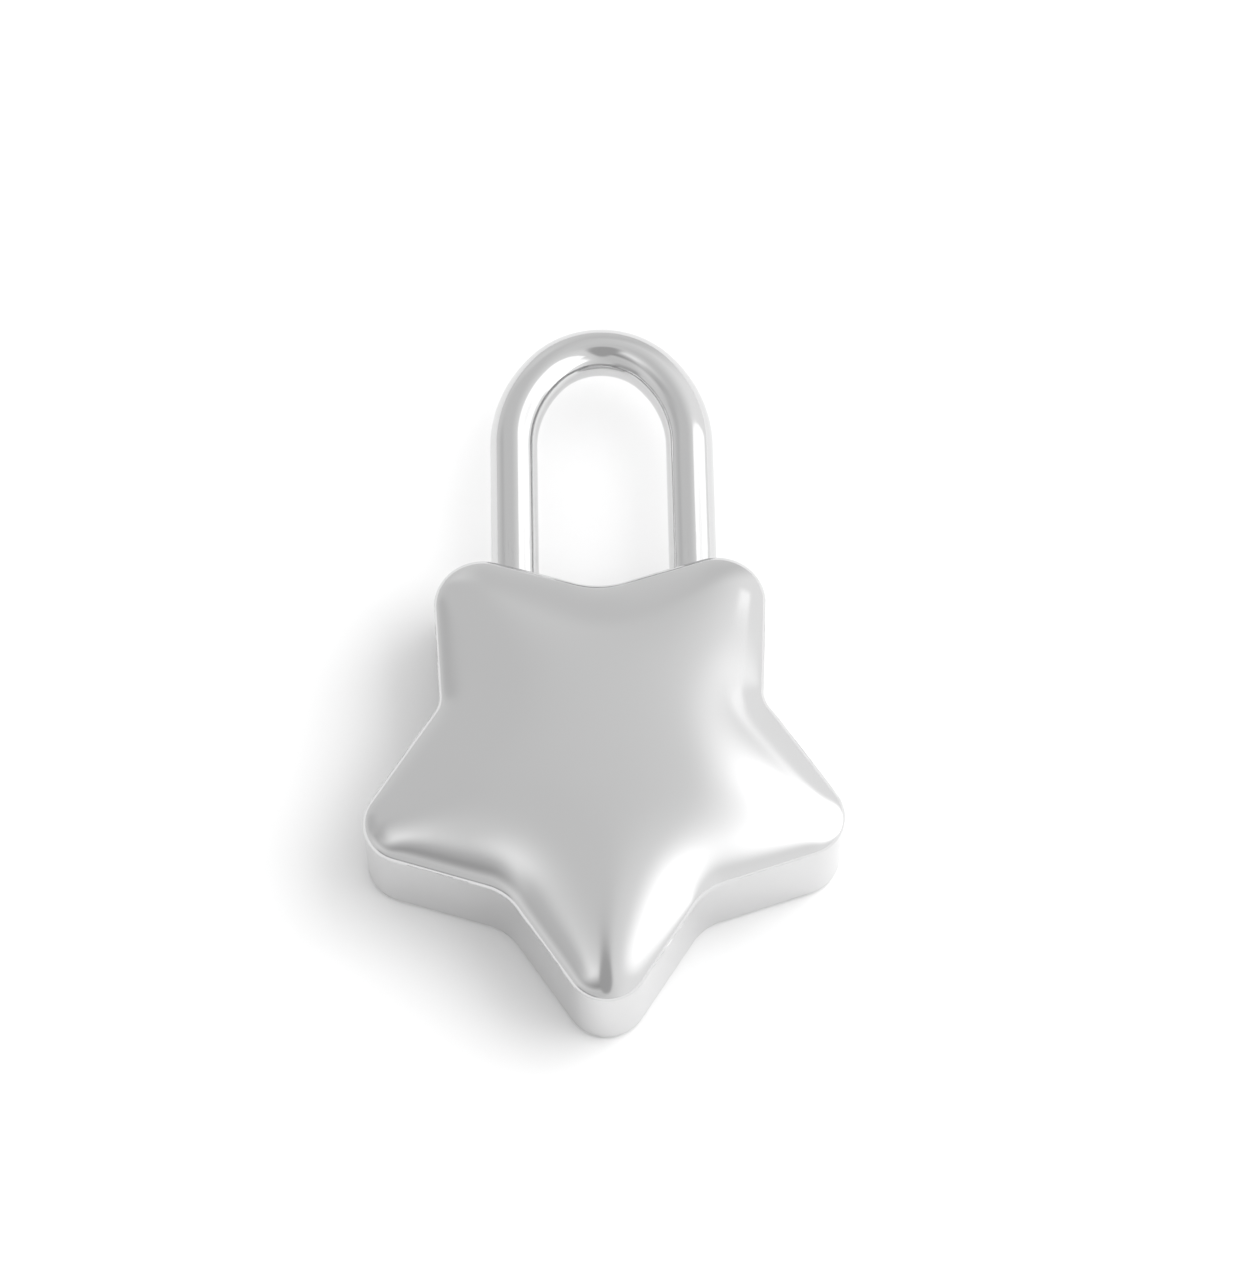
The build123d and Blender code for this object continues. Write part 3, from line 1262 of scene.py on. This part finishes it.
@dataclass(frozen=True)
class Softbox:
    """A rectangular soft light. It either lights the scene or shows in mirror images."""

    name: str
    right_angle: float
    front_angle: float
    distance: float
    width: float
    height: float
    radiance: float
    mirrored: bool = False

    def build(self, target: Vector) -> bpy.types.Object:
        """Places the light at its distance from the target.

        Its direction leans from straight up by the right angle towards +X and by the front angle towards
        -Y. Its power is pi times its area times its radiance.

        Args:
            target: What the light points at, in millimetres.

        Returns:
            The light.
        """
        data = bpy.data.lights.new(self.name, "AREA")
        data.shape = "RECTANGLE"
        data.size = self.width * MM
        data.size_y = self.height * MM
        data.energy = math.pi * data.size * data.size_y * self.radiance
        lamp = bpy.data.objects.new(self.name, data)
        bpy.context.scene.collection.objects.link(lamp)
        right, front = math.radians(self.right_angle), math.radians(self.front_angle)
        lean = Vector((math.tan(right), -math.tan(front), 1.0))
        lamp.location = (target + lean.normalized() * self.distance) * MM
        lamp.rotation_mode = "QUATERNION"
        lamp.rotation_quaternion = lean.to_track_quat("Z", "Y")
        lamp.visible_camera = False
        lamp.visible_glossy = self.mirrored
        lamp.visible_diffuse = not self.mirrored
        return lamp


@dataclass
class Studio:
    """Table, soft lights, surroundings and camera."""

    tilt: float = 23.0
    pan: float = 0.9
    roll: float = -1.29
    focal_pixels: float = 4500.0
    pixels_per_mm: float = 26.69
    aim: Triple = (1.04, 0.85, 3.0)
    sensor: float = 36.0
    table_side: float = 6000.0
    table: PaleTable = field(default_factory=PaleTable)
    sky: StudioSky = field(default_factory=StudioSky)
    panel: GlowPanel = field(default_factory=GlowPanel)
    far_panel: GlowPanel = GlowPanel(
        name="far_panel",
        right_angle=0.0,
        distance=30.0,
        left_edge=22.5,
        right_edge=33.0,
        near_edge=15.0,
        far_edge=23.5,
        edge_half=2.5,
        radiance=1.4,
    )
    target: Triple = (0.0, 0.0, 3.0)
    key: Softbox = Softbox(
        name="key_softbox",
        right_angle=42.0,
        front_angle=-8.0,
        distance=250.0,
        width=220.0,
        height=220.0,
        radiance=2.6,
    )
    fill: Softbox = Softbox(
        name="fill_softbox",
        right_angle=0.0,
        front_angle=0.0,
        distance=250.0,
        width=400.0,
        height=400.0,
        radiance=0.3,
    )
    wire_light: Softbox = Softbox(
        name="wire_softbox",
        right_angle=47.5,
        front_angle=1.0,
        distance=100.0,
        width=132.0,
        height=115.0,
        radiance=0.56,
        mirrored=True,
    )

    def place_camera(self) -> bpy.types.Object:
        """Camera at the photograph's angle.

        It looks down, leaned by the tilt towards the star's bottom point and by the pan to the left, and
        is rolled about its own line of sight. Its lens follows from the focal length in pixels of the
        long side.

        Returns:
            The camera.
        """
        tilt, pan, roll = (math.radians(a) for a in (self.tilt, self.pan, self.roll))
        back = Vector((-math.sin(pan) * math.cos(tilt), -math.sin(tilt), math.cos(pan) * math.cos(tilt)))
        back.normalize()
        level = Vector((0.0, 1.0, 0.0)).cross(back).normalized()
        upright = back.cross(level)
        right = math.cos(roll) * level + math.sin(roll) * upright
        up = -math.sin(roll) * level + math.cos(roll) * upright
        data = bpy.data.cameras.new("photo_camera")
        data.sensor_fit = "AUTO"
        data.sensor_width = self.sensor
        data.lens = self.focal_pixels / max(PICTURE_WIDTH, PICTURE_HEIGHT) * self.sensor
        data.clip_start = 0.01
        data.clip_end = 20.0
        camera = bpy.data.objects.new("photo_camera", data)
        bpy.context.scene.collection.objects.link(camera)
        eye = (Vector(self.aim) + back * (self.focal_pixels / self.pixels_per_mm)) * MM
        turned = Matrix((right, up, back)).transposed().to_4x4()
        camera.matrix_world = Matrix.Translation(eye) @ turned
        bpy.context.scene.camera = camera
        return camera

    def lay_table(self) -> bpy.types.Object:
        """Square table top at the height of the charm's back.

        Returns:
            The table top.
        """
        half = self.table_side / 2.0
        top = make_plate("table_top", (-half, -half), (half, half))
        top.data.materials.append(self.table.material())
        return top

    def build(self) -> None:
        """Sets up the camera, the table and what surrounds the charm."""
        bpy.context.scene.view_settings.view_transform = "Standard"
        self.place_camera()
        self.lay_table()
        self.sky.build()
        self.panel.build()
        self.far_panel.build()

    def light(self, star: bpy.types.Object, wire: bpy.types.Object) -> None:
        """Adds the lights.

        The star alone throws the key light's shadow. The wire alone mirrors the wire's light.

        Args:
            star: The star case.
            wire: The shackle's wire.
        """
        target = Vector(self.target)
        self.fill.build(target)
        key = self.key.build(target)
        blockers = bpy.data.collections.new("key_softbox_blockers")
        blockers.objects.link(star)
        key.light_linking.blocker_collection = blockers
        lamp = self.wire_light.build(target)
        receivers = bpy.data.collections.new("wire_softbox_receivers")
        receivers.objects.link(wire)
        lamp.light_linking.receiver_collection = receivers


def star_centre(outline: StarOutline) -> np.ndarray:
    """Place of the star's centre in the row frame, in millimetres.

    Args:
        outline: The star's outline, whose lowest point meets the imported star's.

    Returns:
        The centre as x, y and z.
    """
    low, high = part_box("star_body")
    lowest = outline.loop()[:, 1].min()
    return np.array([(low.x + high.x) / 2.0 / MM, low.y / MM - lowest, 0.0])


def report_piece(piece: bpy.types.Object) -> None:
    """Logs a piece's name and how many faces it has."""
    LOG.info("%s: %d faces", piece.name, len(piece.data.polygons))


def main() -> None:
    """Builds the camera, the studio and each piece in order."""
    logging.basicConfig(level=logging.INFO, format="%(name)s: %(message)s")
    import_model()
    studio = Studio()
    studio.build()
    pin = KeeperPin()
    shackle = Shackle(pin_radius=pin.radius)
    bore_radius = shackle.wire_radius + shackle.bore_clearance
    case = StarCase(shackle.leg_height, bore_radius, pin.radius + pin.hole_gap)
    shackle.settle(case.outline)
    centre = star_centre(case.outline)
    mouth = case.outline.shoulder[1] + 2.0 * shackle.wire_radius
    legs = [(x + centre[0], low + centre[1], high + centre[1]) for x, low, high in shackle.bores(mouth)]
    hole = (shackle.pin_x + centre[0], shackle.pin_y + centre[1], pin.recess + pin.length + pin.hole_gap)
    star = case.build(centre, legs, hole)
    report_piece(star)
    wire = shackle.build(centre)
    report_piece(wire)
    studio.light(star, wire)
    report_piece(pin.build(shackle.pin_x, shackle.pin_y, centre))


if __name__ == "__main__":
    main()
